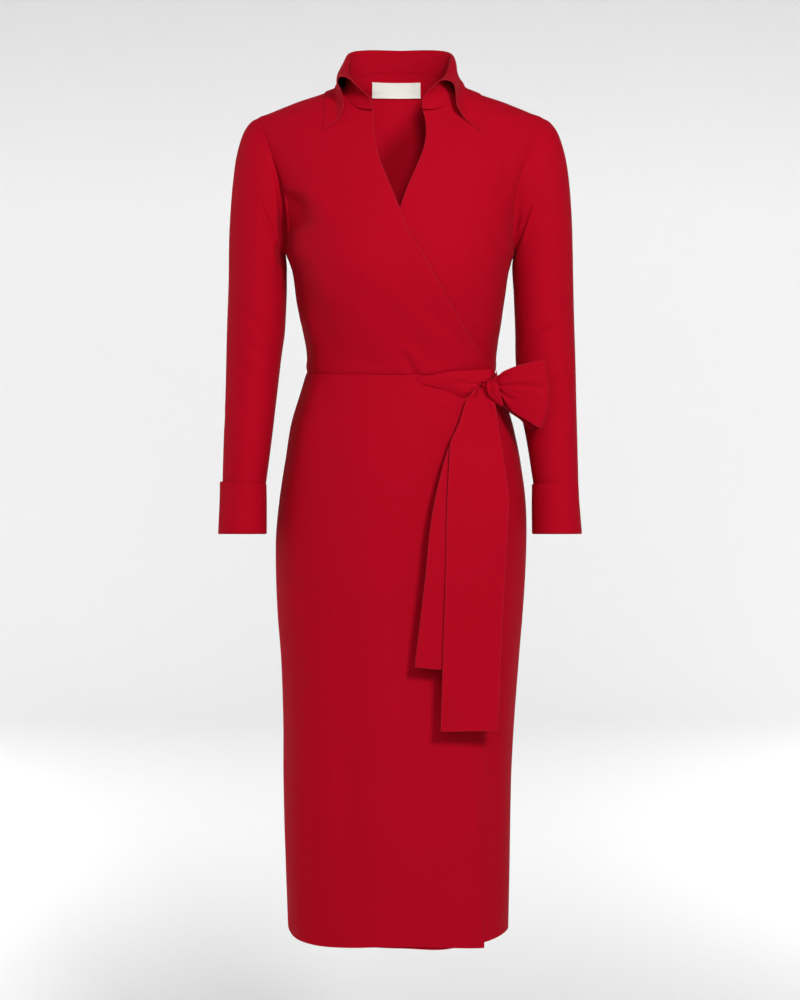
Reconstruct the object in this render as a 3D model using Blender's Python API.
"""Wrap dress: crossed front, one-piece pointed collar, long cuffed sleeves, and a tie with one loop at the left waist.

It keeps the hollow, rounded form it has on a general figure. Every piece a maker would cut is its own closed wall.
Frame: +Z up, the front faces -Y, and the wearer's left is +X. The origin lies between the shoulders, inside the
neck, at the height of the neck points. The tables give millimetres; the meshes are in metres.
"""
import math

import bmesh
import bpy
from mathutils import Vector

MM = 0.001
CLOTH = 1.4        # wall of the cloth
SEAM = 0.3         # clearance between two pieces that are sewn together
LAYER = 3.2        # how far the upper front stands off the form, to clear the lower front beneath it
WAIST_Z = -376.0
NECK_POINT_Z = -1.0
SHOULDER_TIP_Z = -43.0
ARMPIT_Z = -222.0
BACK_NECK_RISE = 24.0


class Table:
    """Rows of sizes with named columns, read on a smooth curve along the first column."""

    def __init__(self, names, rows):
        rows = sorted(rows)
        self.columns = dict(zip(names.split(), zip(*rows)))
        self.keys = [row[0] for row in rows]

    def at(self, name, key):
        keys, values = self.keys, self.columns[name]
        key = min(max(key, keys[0]), keys[-1])
        i = max(j for j in range(len(keys) - 1) if keys[j] <= key)
        step = keys[i + 1] - keys[i]

        def slope(j):
            lo, hi = max(j - 1, 0), min(j + 1, len(keys) - 1)
            return (values[hi] - values[lo]) / (keys[hi] - keys[lo])

        t = (key - keys[i]) / step
        rise = values[i + 1] - values[i]
        start, end = slope(i) * step, slope(i + 1) * step
        return values[i] + t * (start + t * (3 * rise - 2 * start - end + t * (start + end - 2 * rise)))


# Half widths of the dress at each height, on the wearer's right and left. Above the armpit they run on past the
# armhole, which cuts the form there, up to the shoulder seam and the neck.
WIDTH = Table("z right left", [
    (25, 65, 65), (-1, 72, 72), (-9, 93, 94), (-15, 110, 111), (-22, 132, 133), (-30, 153, 154),
    (-38, 173, 174), (-43, 186, 187), (-60, 196, 196), (-90, 192, 192), (-112, 181, 181), (-132, 169, 169),
    (-155, 160, 160), (-185, 153, 153), (-205, 151, 151), (-222, 150, 150), (-249, 144, 144),
    (-288, 137, 138), (-328, 128, 131), (-352, 124, 128), (-376, 124, 127), (-404, 132, 136),
    (-447, 145, 152), (-496, 153, 163), (-550, 161, 170), (-604, 166, 170), (-686, 165, 166),
    (-768, 160, 160), (-850, 158, 154), (-934, 158, 150), (-1145, 152, 147),
])

# Front and back depths from the side seams, and how square each level is (2 is an ellipse).
DEPTH = Table("z front back squareness", [
    (25, 55, 58, 2.0), (-1, 60, 67, 1.9), (-15, 64, 71, 1.75), (-43, 74, 80, 1.6), (-60, 82, 85, 1.7),
    (-90, 93, 94, 1.9), (-132, 107, 103, 2.1), (-185, 116, 106, 2.25), (-245, 118, 101, 2.3),
    (-308, 108, 93, 2.25), (-376, 93, 87, 2.2), (-404, 95, 90, 2.2), (-450, 104, 99, 2.2),
    (-500, 110, 110, 2.25), (-560, 114, 118, 2.25), (-620, 115, 120, 2.25), (-700, 113, 117, 2.2),
    (-800, 110, 112, 2.2), (-950, 108, 109, 2.3), (-1145, 107, 107, 2.5),
])
BUST_X, BUST_Z, BUST_SPREAD, BUST_RISE = 76.0, -240.0, 46.0, 12.0

# Where the armhole seam runs, seen from the front.
ARMHOLE = Table("z x", [
    (-43, 186), (-60, 178), (-90, 167), (-112, 159), (-132, 153), (-155, 149.5), (-185, 147.5),
    (-205, 148), (-222, 150),
])
ARMHOLE_MID = (SHOULDER_TIP_Z + ARMPIT_Z) / 2
ARMHOLE_HALF = (SHOULDER_TIP_Z - ARMPIT_Z) / 2

# The upper front's free edge, from the waist up to the collar, and the lower front's, half of it hidden.
UPPER_EDGE = Table("z x", [
    (-376, 117), (-369, 115), (-347, 100), (-331, 90), (-297, 71), (-261, 51), (-213, 24), (-192, 10),
    (-163, -1), (-132, -14), (-107, -24), (-88, -30), (-61, -34), (-36, -35),
])
LOWER_EDGE = Table("z x", [
    (-376, -100), (-331, -88), (-261, -51), (-213, -24), (-192, -11), (-155, 3), (-136, 10), (-113, 20),
    (-91, 29), (-74, 33), (-53, 33), (-36, 29),
])
NECK_FRONT_Z = -36.0
UPPER_SKIRT_EDGE = Table("z x", [(-376, 117), (-500, 114), (-700, 110), (-858, 109), (-1145, 110)])
LOWER_SKIRT_EDGE_X = -92.0

# The hem's height round the skirt, by the form's angle. The upper front dips to its free corner.
UPPER_HEM = Table("angle z", [(35, -1143), (43, -1142), (55, -1139), (70, -1135), (90, -1132), (110, -1135),
                              (130, -1137), (150, -1136), (165, -1134), (180, -1129)])
LOWER_HEM = Table("angle z", [(0, -1137), (15, -1133), (45, -1135), (60, -1136), (75, -1138), (90, -1135),
                              (130, -1131)])
BACK_HEM = Table("angle z", [(180, -1129), (270, -1132), (360, -1137)])


def ramp(t):
    t = min(max(t, 0.0), 1.0)
    return t * t * (3 - 2 * t)


def mix(a, b, t):
    return a + (b - a) * t


def power(value, exponent):
    return math.copysign(abs(value) ** exponent, value)


def form(angle, z):
    """A point of the body form. 0 is the wearer's left side, 90 the front, 180 the right side, 270 the back."""
    across, along = math.cos(math.radians(angle)), math.sin(math.radians(angle))
    exponent = 2 / DEPTH.at("squareness", z)
    x = power(across, exponent) * WIDTH.at("left" if across > 0 else "right", z)
    y = -power(along, exponent) * DEPTH.at("front" if along > 0 else "back", z)
    if along > 0:
        for side in (-1, 1):
            reach = ((x - side * BUST_X) ** 2 + (z - BUST_Z) ** 2) / (2 * BUST_SPREAD ** 2)
            y -= BUST_RISE * along * math.exp(-reach)
    return Vector((x, y, z))


def form_normal(angle, z):
    step_angle, step_z = 1.0, 2.0
    around = form(angle + step_angle, z) - form(angle - step_angle, z)
    up = form(angle, z + step_z) - form(angle, z - step_z)
    return up.cross(around).normalized()


def on_form(angle, z, out=0.0):
    return form(angle, z) + form_normal(angle, z) * out


def angle_of(x, z, face="front"):
    """The angle at which the form reaches x at this height."""
    half = WIDTH.at("left" if x > 0 else "right", z)
    share = min(abs(x) / half, 1.0) ** (DEPTH.at("squareness", z) / 2)
    angle = math.degrees(math.acos(math.copysign(share, x)))
    return angle if face == "front" else 360 - angle


def armhole(turn, side, face):
    """Angle and height on an armhole seam: turn 0 is the shoulder tip and 180 the armpit."""
    z = ARMHOLE_MID + ARMHOLE_HALF * math.cos(math.radians(turn))
    if turn in (0, 180):
        return (0.0 if side > 0 else 180.0) if face == "front" else (360.0 if side > 0 else 180.0), z
    return angle_of(side * ARMHOLE.at("x", z), z, face), z


# ---- solids -------------------------------------------------------------------------------------------------
for old in list(bpy.data.objects):
    bpy.data.objects.remove(old)
dress = bpy.data.objects.new("dress", None)
bpy.context.collection.objects.link(dress)


def plain_material(name, colour, roughness):
    material = bpy.data.materials.new(name)
    material.use_nodes = True
    shader = material.node_tree.nodes["Principled BSDF"]
    shader.inputs["Base Color"].default_value = (*colour, 1)
    shader.inputs["Roughness"].default_value = roughness
    shader.inputs["Metallic"].default_value = 0.0
    return material


CLOTH_RED = plain_material("red_jersey", (0.43, 0.003, 0.013), 0.75)
LABEL_WHITE = plain_material("label_satin", (0.85, 0.83, 0.78), 0.5)


def wall(name, inner, outer, material=CLOTH_RED, ring=False):
    """One closed solid between two grids of points. A ring's columns meet round the back.

    Each cell is split along its shorter diagonal, so a cell that is bent at a panel's edge never folds over it.
    """
    mesh = bmesh.new()
    layers = [[[mesh.verts.new(p * MM) for p in row] for row in grid] for grid in (inner, outer)]
    rows, columns = len(inner), len(inner[0])
    wrap = columns if ring else columns - 1
    for r in range(rows - 1):
        for c in range(wrap):
            d = (c + 1) % columns
            falling = (inner[r][c] - inner[r + 1][d]).length <= (inner[r][d] - inner[r + 1][c]).length
            for layer in layers:
                a, b, e, f = layer[r][c], layer[r][d], layer[r + 1][d], layer[r + 1][c]
                for corners in ((a, b, e), (a, e, f)) if falling else ((a, b, f), (b, e, f)):
                    mesh.faces.new(corners)
    under, over = layers
    for r in (0, rows - 1):
        for c in range(wrap):
            d = (c + 1) % columns
            mesh.faces.new((under[r][c], under[r][d], over[r][d], over[r][c]))
    if not ring:
        for c in (0, columns - 1):
            for r in range(rows - 1):
                mesh.faces.new((under[r][c], under[r + 1][c], over[r + 1][c], over[r][c]))
    bmesh.ops.recalc_face_normals(mesh, faces=mesh.faces)
    return finish(name, mesh, material)


def finish(name, mesh, material):
    data = bpy.data.meshes.new(name)
    mesh.to_mesh(data)
    mesh.free()
    data.materials.append(material)
    data.shade_smooth()
    data.set_sharp_from_angle(angle=math.radians(40))
    piece = bpy.data.objects.new(name, data)
    piece.parent = dress
    bpy.context.collection.objects.link(piece)
    return piece


def grid_normals(grid, ring=False):
    rows, columns = len(grid), len(grid[0])
    normals = []
    for r in range(rows):
        normals.append([])
        for c in range(columns):
            before, after = (c - 1) % columns, (c + 1) % columns
            if not ring:
                before, after = max(c - 1, 0), min(c + 1, columns - 1)
            along = grid[r][after] - grid[r][before]
            down = grid[min(r + 1, rows - 1)][c] - grid[max(r - 1, 0)][c]
            normals[-1].append(along.cross(down).normalized())
    return normals


def sheet(name, grid, thickness=CLOTH, ring=False):
    """A wall of even thickness on both sides of a grid of points."""
    normals = grid_normals(grid, ring)
    faces = [[[p + n * side * thickness / 2 for p, n in zip(*pair)] for pair in zip(grid, normals)]
             for side in (-1, 1)]
    return wall(name, *faces, ring=ring)


def steps(count):
    return [i / count for i in range(count + 1)]


# ---- the panels of bodice and skirt -------------------------------------------------------------------------
SIDE_ROWS, ARM_ROWS = 6, 10
NECK_ROWS = 5
SKIRT_ROWS = 15
SHOULDER_COLUMNS, BACK_NECK_COLUMNS = 5, 10
ARM_SHARE = SIDE_ROWS / (SIDE_ROWS + ARM_ROWS)
NECK_SHARE = 1 - NECK_ROWS / (SIDE_ROWS + ARM_ROWS)


def upper_lift(angle, z):
    """How far the upper front, on the wearer's right, stands off the form: not at its side seam or its neck."""
    past_side = ramp((166 - angle) / 22)
    below_neck = ramp((-104 - z) / 44)
    return LAYER * past_side * below_neck


def no_lift(_angle, _z):
    return 0.0


def patch(bottom, top, start, end, share, s, v):
    """A point inside four edges, each a function that gives angle and height. share weighs the two side edges."""
    weight = share(s, v)
    place = []
    for low, high, a, a0, a1, b, b0, b1 in zip(bottom(s), top(s), start(v), start(0), start(1), end(v), end(0), end(1)):
        bulge_start, bulge_end = a - mix(a0, a1, v), b - mix(b0, b1, v)
        place.append(mix(low, high, v) + mix(bulge_start, bulge_end, weight))
    return place


def panel(name, edges, share, columns, rows, lift, shift):
    """One cut panel: its wall lies on the form, moved by the seam's clearance."""
    inner, outer = [], []
    for v in steps(rows):
        places = [patch(*edges, share, s, v) for s in steps(columns)]
        inner.append([on_form(a, z, lift(a, z)) + shift for a, z in places])
        outer.append([on_form(a, z, lift(a, z) + CLOTH) + shift for a, z in places])
    return wall(name, inner, outer)


def side_and_armhole(side, face):
    """The outer edge of a bodice panel: up the side seam, then round the armhole to the shoulder tip."""
    seam = (0.0 if side > 0 else 180.0) if face == "front" else (360.0 if side > 0 else 180.0)

    def edge(v):
        if v <= ARM_SHARE:
            return seam, mix(WAIST_Z, ARMPIT_Z, v / ARM_SHARE)
        return armhole(180 * (1 - v) / (1 - ARM_SHARE), side, face)
    return edge


def wrap_edge(table, side):
    """The inner edge of a front: up the free edge, then along the neck seam to the shoulder."""
    def edge(v):
        if v <= NECK_SHARE:
            z = mix(WAIST_Z, NECK_FRONT_Z, v / NECK_SHARE)
            return angle_of(table.at("x", z), z), z
        return neck_seam_front((v - NECK_SHARE) / (1 - NECK_SHARE), table, side)
    return edge


def neck_seam_front(t, table, side):
    """The neck seam of a front, from its end at the wrap edge (0) to the neck point (1)."""
    turn = math.radians(90 * (1 - (1 - t) ** 1.8))
    z = mix(NECK_FRONT_Z, NECK_POINT_Z, (1 - math.cos(turn)) ** 1.3)
    start_x, end_x = table.at("x", NECK_FRONT_Z), side * WIDTH.at("left", NECK_POINT_Z)
    return angle_of(mix(start_x, end_x, math.sin(turn)), z), z


def bodice_front(name, side, edge_table, columns, lift):
    seam = 0.0 if side > 0 else 180.0
    free = wrap_edge(edge_table, side)

    def bottom(s):
        return mix(seam, free(0)[0], s), WAIST_Z

    def top(s):
        return seam, mix(SHOULDER_TIP_Z, NECK_POINT_Z, s)

    edges = bottom, top, side_and_armhole(side, "front"), free
    shift = Vector((0, -SEAM / 2, SEAM / 2))
    return panel(name, edges, lambda s, v: s, columns, SIDE_ROWS + ARM_ROWS, lift, shift)


def bodice_back():
    columns = BACK_NECK_COLUMNS + 2 * SHOULDER_COLUMNS
    shoulder_share = SHOULDER_COLUMNS / columns

    def bottom(s):
        return mix(180, 360, s), WAIST_Z

    def top(s):
        if s <= shoulder_share:
            return 180.0, mix(SHOULDER_TIP_Z, NECK_POINT_Z, s / shoulder_share)
        if s >= 1 - shoulder_share:
            return 360.0, mix(SHOULDER_TIP_Z, NECK_POINT_Z, (1 - s) / shoulder_share)
        t = (s - shoulder_share) / (1 - 2 * shoulder_share)
        return neck_seam_back(t)

    def share(s, v):
        across_neck = min(max((s - shoulder_share) / (1 - 2 * shoulder_share), 0), 1)
        return mix(s, across_neck, v)

    edges = bottom, top, side_and_armhole(-1, "back"), side_and_armhole(1, "back")
    shift = Vector((0, SEAM / 2, SEAM / 2))
    return panel("bodice_back", edges, share, columns, SIDE_ROWS + ARM_ROWS, no_lift, shift)


def neck_seam_back(t):
    """The back neck seam, from the right neck point (0) to the left one (1)."""
    return mix(180, 360, t), NECK_POINT_Z + BACK_NECK_RISE * math.sin(math.pi * t) ** 0.8


def skirt_panel(name, start, end, hem, columns, lift, forward):
    """A skirt panel between two edges that give an angle at each height, its rows closer towards the waist."""
    inner, outer = [], []
    shift = Vector((0, -forward * SEAM / 2, -SEAM / 2))
    for v in steps(SKIRT_ROWS):
        drop = v ** 1.45
        places = []
        for s in steps(columns):
            hem_z = hem.at("z", mix(start(-1140), end(-1140), s))
            z = mix(WAIST_Z, hem_z, drop)
            places.append((mix(start(z), end(z), s), z))
        inner.append([on_form(a, z, lift(a, z)) + shift for a, z in places])
        outer.append([on_form(a, z, lift(a, z) + CLOTH) + shift for a, z in places])
    return wall(name, inner, outer)


def skirt_lift(angle, _z):
    return upper_lift(angle, WAIST_Z)


def upper_skirt_edge(z):
    return angle_of(UPPER_SKIRT_EDGE.at("x", z), z)


bodice_front("bodice_front_over", -1, UPPER_EDGE, 14, upper_lift)
bodice_front("bodice_front_under", 1, LOWER_EDGE, 12, no_lift)
bodice_back()
skirt_panel("skirt_front_over", lambda z: 180, upper_skirt_edge, UPPER_HEM, 14, skirt_lift, 1)
skirt_panel("skirt_front_under", lambda z: 0, lambda z: angle_of(LOWER_SKIRT_EDGE_X, z), LOWER_HEM, 12, no_lift, 1)
skirt_panel("skirt_back", lambda z: 180, lambda z: 360, BACK_HEM, 16, no_lift, -1)

# ---- sleeves and cuffs --------------------------------------------------------------------------------------
# Each ring of a sleeve: its outer and inner point seen from the front, its half depth, how far its middle lies
# forward of the side seam, and how far it tips as the forearm leans forward.
RING_COLUMNS = "outer_x outer_z inner_x inner_z depth forward tip"
SLEEVE = [
    (186, -43, 150, -222, 50, 0, 0), (197, -49, 154, -220.5, 51, 0, 0), (208, -64, 157, -226, 51.5, 0, 0),
    (217, -91, 157.5, -237, 51, 0, 0), (222, -122, 156, -252, 50.5, 0, 0), (226, -162, 154.5, -270, 50, 0, 0),
    (229, -210, 154, -296, 49, 0, 0), (231, -262, 155, -326, 47.5, 0, 0), (232.5, -318, 157, -357, 45, 0, 0),
    (233.5, -370, 160, -390, 42.5, 3, 1), (235, -420, 165, -425, 39.5, 8, 3),
    (237, -470, 171.5, -470, 36, 15, 5.5), (239, -532, 180, -532, 32.5, 24, 7),
]
CUFF = [
    (243, -528, 177, -530, 34.5, 24, 7), (244, -560, 177, -561, 34.8, 28, 7), (245, -594, 178, -594, 35, 32, 7),
]
RING_SEGMENTS = 2 * ARM_ROWS
ARMHOLE_FADE = (1.0, 0.62, 0.32, 0.12)
SLEEVE_JOIN = 5    # a sleeve is one piece of cloth in two solids, which meet at this ring


def ring_point(row, turn, side):
    """A point of a sleeve ring: turn 0 is its outer side, 90 the front and 180 the underarm."""
    ring = dict(zip(RING_COLUMNS.split(), row))
    across, round_front = math.cos(math.radians(turn)), math.sin(math.radians(turn))
    x = (ring["outer_x"] + ring["inner_x"]) / 2 + across * (ring["outer_x"] - ring["inner_x"]) / 2
    z = (ring["outer_z"] + ring["inner_z"]) / 2 + across * (ring["outer_z"] - ring["inner_z"]) / 2
    y = -ring["depth"] * round_front
    z -= y * math.tan(math.radians(ring["tip"]))
    return Vector((side * x, y - ring["forward"], z))


def armhole_seat(turn, side):
    """The point, wall direction and outward direction of the armhole seam, turn running from 0 to 360."""
    face, within = ("front", turn) if turn <= 180 else ("back", 360 - turn)
    place = armhole(within, side, face)
    ends = [form(*armhole(min(max(within + d, 0), 180), side, face)) for d in (-4, 4)]
    along = (ends[1] - ends[0]).normalized()
    normal = form_normal(*place)
    away = along.cross(normal).normalized() * (side if face == "back" else -side)
    return form(*place), normal, away


def sleeve(word, side):
    turns = [360 * i / RING_SEGMENTS for i in range(RING_SEGMENTS)]
    rings = [[ring_point(row, turn, side) for turn in turns] for row in SLEEVE]
    for c, turn in enumerate(turns):
        shift = armhole_seat(turn, side)[0] - rings[0][c]
        for r, share in enumerate(ARMHOLE_FADE):
            rings[r][c] = rings[r][c] + shift * share
    normals = grid_normals(rings, ring=True)
    if side > 0:
        normals = [[n * -1 for n in row] for row in normals]
    for c, turn in enumerate(turns):
        seat, normal, away = armhole_seat(turn, side)
        rings[0][c] = seat + away * (SEAM + 0.1)
        normals[0][c] = normal
    outer = [[p + n * CLOTH for p, n in zip(*pair)] for pair in zip(rings, normals)]
    wall("sleeve_head_" + word, rings[:SLEEVE_JOIN + 1], outer[:SLEEVE_JOIN + 1], ring=True)
    wall("sleeve_" + word, below_join(rings), below_join(outer), ring=True)


def below_join(rings):
    """The rings of the sleeve's lower solid, the first one moved down by the gap to the upper solid."""
    first, second = rings[SLEEVE_JOIN:SLEEVE_JOIN + 2]
    return [[p + (q - p).normalized() * SEAM for p, q in zip(first, second)]] + rings[SLEEVE_JOIN + 1:]


def cuff(name, side):
    turns = [360 * i / RING_SEGMENTS for i in range(RING_SEGMENTS)]
    rings = [[ring_point(row, turn, side) for turn in turns] for row in CUFF]
    return sheet(name, rings, 2.0, ring=True)


for side, word in ((-1, "right"), (1, "left")):
    sleeve(word, side)
    cuff("cuff_" + word, side)

# ---- collar -------------------------------------------------------------------------------------------------
# Sections of the one-piece collar from the centre back (0) to its front edge (1), on the wearer's left: where it
# folds over, how wide the roll is, where its outer edge comes down, and how far the stand bows inwards.
COLLAR_SECTIONS = Table("place fold_x fold_y fold_z roll edge_x edge_y edge_z bow", [
    (0.0, 0, 67, 52, 3.5, 0, 84, 8, 0),
    (0.25, 42, 55, 51, 3.5, 50, 72, 4, 0),
    (0.45, 64, 32, 44, 4.0, 84, 44, -6, 0),
    (0.62, 71, -6, 29, 4.5, 108, -6, -9, 0),
    (0.80, 70, -38, 13, 6.0, 114, -42, -26, 1),
    (1.0, 60, -60, 2, 7.0, 105, -72, -62, 6),
])
RIGHT_ROLL_OUT = 8.0       # the wearer's right front corner rolls over further out
COLLAR_COLUMNS = 15
COLLAR_CLEAR = 4.2         # from the form to the middle of the collar where it lies on the shoulder
COLLAR_EDGE_CLEAR = 5.0
BACK_NECK_PLACE = 0.54     # where along the collar the neck point comes


def neck_line(side):
    """The panels' own corners along half the neck seam: from the centre back, and from the neck point forward."""
    back = [form(*neck_seam_back(0.5 + i / BACK_NECK_COLUMNS)) for i in range(BACK_NECK_COLUMNS // 2 + 1)]
    if side < 0:
        back = [Vector((-p.x, p.y, p.z)) for p in back]
    table = LOWER_EDGE if side > 0 else UPPER_EDGE
    return back, [form(*neck_seam_front(1 - i / NECK_ROWS, table, side)) for i in range(NECK_ROWS + 1)]


def along_line(points, t):
    place = min(max(t, 0.0), 1.0) * (len(points) - 1)
    i = min(int(place), len(points) - 2)
    return points[i].lerp(points[i + 1], place - i)


def neck_seat(place, side):
    """The neck seam from the centre back (0) to the front edge (1)."""
    back, front = neck_line(side)
    if place <= BACK_NECK_PLACE:
        return along_line(back, place / BACK_NECK_PLACE)
    return along_line(front, (place - BACK_NECK_PLACE) / (1 - BACK_NECK_PLACE))


def clear_of_form(point, gap):
    """The point, moved out along the form's normal where it lies closer than this to the form."""
    for _ in range(4):
        half = WIDTH.at("left" if point.x > 0 else "right", point.z)
        deep = DEPTH.at("front" if point.y < 0 else "back", point.z)
        exponent = DEPTH.at("squareness", point.z) / 2
        angle = math.degrees(math.atan2(power(-point.y / deep, exponent), power(point.x / half, exponent))) % 360
        normal = form_normal(angle, point.z)
        short = gap - (point - form(angle, point.z)).dot(normal)
        if short <= 0:
            break
        point = point + normal * short
    return point


def collar_section(place, side):
    """Points of the collar from the neck seam up to the fold and down to the outer edge."""
    row = {name: COLLAR_SECTIONS.at(name, place) for name in COLLAR_SECTIONS.columns}
    roll_out = RIGHT_ROLL_OUT * ramp((place - 0.6) / 0.4) if side < 0 else 0.0
    seat = neck_seat(place, side)
    seat -= Vector((seat.x, seat.y, 0)).normalized() * (SEAM + CLOTH / 2)
    fold = Vector((side * (row["fold_x"] + roll_out), row["fold_y"], row["fold_z"] + roll_out / 3))
    edge = Vector((side * row["edge_x"], row["edge_y"], row["edge_z"]))
    across = Vector((edge.x - seat.x, edge.y - seat.y, 0)).normalized()
    roll = row["roll"]
    inner_fold, outer_fold = fold - across * roll, fold + across * roll
    bow = (seat + inner_fold) / 2 - across * row["bow"] + Vector((0, 0, 2))
    hang = Vector((mix(outer_fold.x, edge.x, 0.15), mix(outer_fold.y, edge.y, 0.4), mix(outer_fold.z, edge.z, 0.55)))

    def bend(a, b, c, t):
        return a * (1 - t) ** 2 + b * 2 * t * (1 - t) + c * t ** 2

    points = [bend(seat, bow, inner_fold, t) for t in (0, 0.35, 0.7)]
    for turn in (20, 90, 160):
        a = math.radians(turn)
        points.append(fold - across * roll * math.cos(a) + Vector((0, 0, roll * (math.sin(a) - 1))))
    for t in (0.25, 0.5, 0.75, 1.0):
        fall = bend(outer_fold - Vector((0, 0, roll)), hang, edge, t)
        points.append(clear_of_form(fall, mix(COLLAR_CLEAR, COLLAR_EDGE_CLEAR, t)))
    return points


def collar():
    left = [collar_section(place, 1) for place in steps(COLLAR_COLUMNS)]
    right = [collar_section(place, -1) for place in reversed(steps(COLLAR_COLUMNS)[1:])]
    return sheet("collar", right + left)


collar()

# ---- tie ----------------------------------------------------------------------------------------------------
KNOT = Vector((118, -75, -392))
KNOT_OUT = Vector((0.62, -0.78, 0)).normalized()
KNOT_ALONG = Vector((0.78, 0.62, 0)).normalized()


def knot():
    """A closed bundle of cloth with upright pleats, 28 mm wide and 34 mm tall."""
    rings, segments, pleats, half_height = 9, 20, 6, 17
    mesh = bmesh.new()
    rows = []
    for i in range(1, rings):
        rise = math.pi * i / rings
        row = []
        for j in range(segments):
            a = 2 * math.pi * j / segments
            pleat = 1 + 0.07 * math.sin(rise) * math.cos(pleats * a)
            flat = math.sin(rise) ** 0.5
            point = KNOT + KNOT_ALONG * 13.5 * flat * math.cos(a) * pleat
            point += KNOT_OUT * 9.5 * flat * math.sin(a) * pleat + Vector((0, 0, half_height * math.cos(rise)))
            row.append(mesh.verts.new(point * MM))
        rows.append(row)
    for a, b in zip(rows, rows[1:]):
        for j in range(segments):
            k = (j + 1) % segments
            mesh.faces.new((a[j], a[k], b[k], b[j]))
    for row, height in ((rows[0], half_height), (rows[-1], -half_height)):
        tip = mesh.verts.new((KNOT + Vector((0, 0, height))) * MM)
        for j in range(segments):
            mesh.faces.new((row[j], row[(j + 1) % segments], tip))
    bmesh.ops.recalc_face_normals(mesh, faces=mesh.faces)
    return finish("tie_knot", mesh, CLOTH_RED)


# The loop's ribbon: its path seen from above, its middle height, and its half width.
LOOP = Table("s x y z half", [
    (0.0, 130, -78, -390, 9), (0.1, 141, -82, -393, 20), (0.25, 158, -86, -396, 31), (0.38, 176, -88, -400, 39),
    (0.46, 188, -86, -402, 43), (0.5, 192, -80, -403, 44), (0.54, 188, -73, -405, 43), (0.62, 176, -69, -406, 39),
    (0.78, 158, -69, -404, 31), (0.9, 143, -68, -399, 20), (1.0, 132, -69, -394, 9),
])


def loop():
    grid = []
    for s in steps(16):
        x, y, z, half = (LOOP.at(name, s) for name in ("x", "y", "z", "half"))
        lean = -0.07 * half / 44
        grid.append([Vector((x + lean * u * half * -1, y + 2.0 * u * u, z + u * half))
                     for u in (-1, -0.6, -0.2, 0.2, 0.6, 1)])
    return sheet("tie_loop", grid)


# The hanging ends: their left and right edges, and how far each hangs out from the skirt's form.
FRONT_TAIL = Table("z left right", [
    (-836, 53, 127), (-720, 56, 131), (-620, 59, 135), (-553, 60, 137), (-500, 62, 140), (-470, 64, 143),
    (-450, 69, 142), (-430, 80, 135), (-409.5, 99, 126),
])
BACK_TAIL = Table("z left right", [
    (-752, 19, 95), (-632, 33, 105), (-545, 41, 112), (-512, 50, 116), (-470, 62, 121), (-450, 72, 121),
    (-430, 86, 120), (-409.5, 102, 119),
])
HANG = Table("z front back", [
    (-836, 26, 21.5), (-752, 23, 18.5), (-650, 16, 11.5), (-553, 11, 6.5), (-500, 9.5, 5), (-450, 9, 4.5),
    (-425, 7.6, 4), (-409.5, 5.6, 3.3),
])
HIP_FLATTENING = 0.8       # the ends bridge the hip's curve, and bend less than it


def tail(name, table, rows, place):
    """A hanging end, wide and flat, that narrows into the knot."""
    top, bottom = table.keys[-1], table.keys[0]
    grid = []
    for v in steps(rows):
        z = mix(top, bottom, v ** 1.5)
        row = []
        for u in steps(6):
            x = mix(table.at("left", z), table.at("right", z), u)
            y = form(angle_of(x * HIP_FLATTENING, z), z).y - HANG.at(place, z)
            row.append(Vector((x, y, z)))
        grid.append(row)
    return sheet(name, grid)


def band(name, places, out, columns, rows):
    """A strip on the form: places gives its two ends and its edges as angle and height."""
    inner, outer = [], []
    for v in steps(rows):
        row = [places(s, v) for s in steps(columns)]
        inner.append([on_form(a, z, out(s, v)) for s, (a, z) in zip(steps(columns), row)])
        outer.append([on_form(a, z, out(s, v) + CLOTH) for s, (a, z) in zip(steps(columns), row)])
    return wall(name, inner, outer)


def tie_root():
    """The upper front's tie, pleated from the waist seam to the knot."""
    def places(s, v):
        top = (mix(74, 43, s), mix(-380, -378, s))
        low = (mix(77, 43, s), mix(-388, -409, s))
        return mix(top[0], low[0], v), mix(top[1], low[1], v)

    def out(s, v):
        return LAYER + CLOTH + 1.0 + 3.0 * ramp(s * 2) * math.sin(math.pi * v)
    return band("tie_band_over", places, out, 8, 5)


def tie_side_root():
    """The lower front's tie, from the left side seam to the back of the knot."""
    def places(s, v):
        return mix(3, 20, s), mix(mix(-372, -376, s), mix(-392, -404, s), v)
    return band("tie_band_side", places, lambda s, v: CLOTH + 1.2, 5, 4)


knot()
loop()
tail("tie_tail_front", FRONT_TAIL, 12, "front")
tail("tie_tail_back", BACK_TAIL, 11, "back")
tie_root()
tie_side_root()


# ---- label --------------------------------------------------------------------------------------------------
def label():
    """The woven label inside the back neck, bare, 66 mm wide."""
    half_width, top, bottom = 33.0, 9.0, -11.0

    def rows(out):
        return [[on_form(angle_of(mix(-half_width, half_width, s) - 5, z, "back"), z, out) for s in steps(8)]
                for z in (top, (top + bottom) / 2, bottom)]
    return wall("neck_label", rows(-2.2), rows(-1.3), LABEL_WHITE)


label()
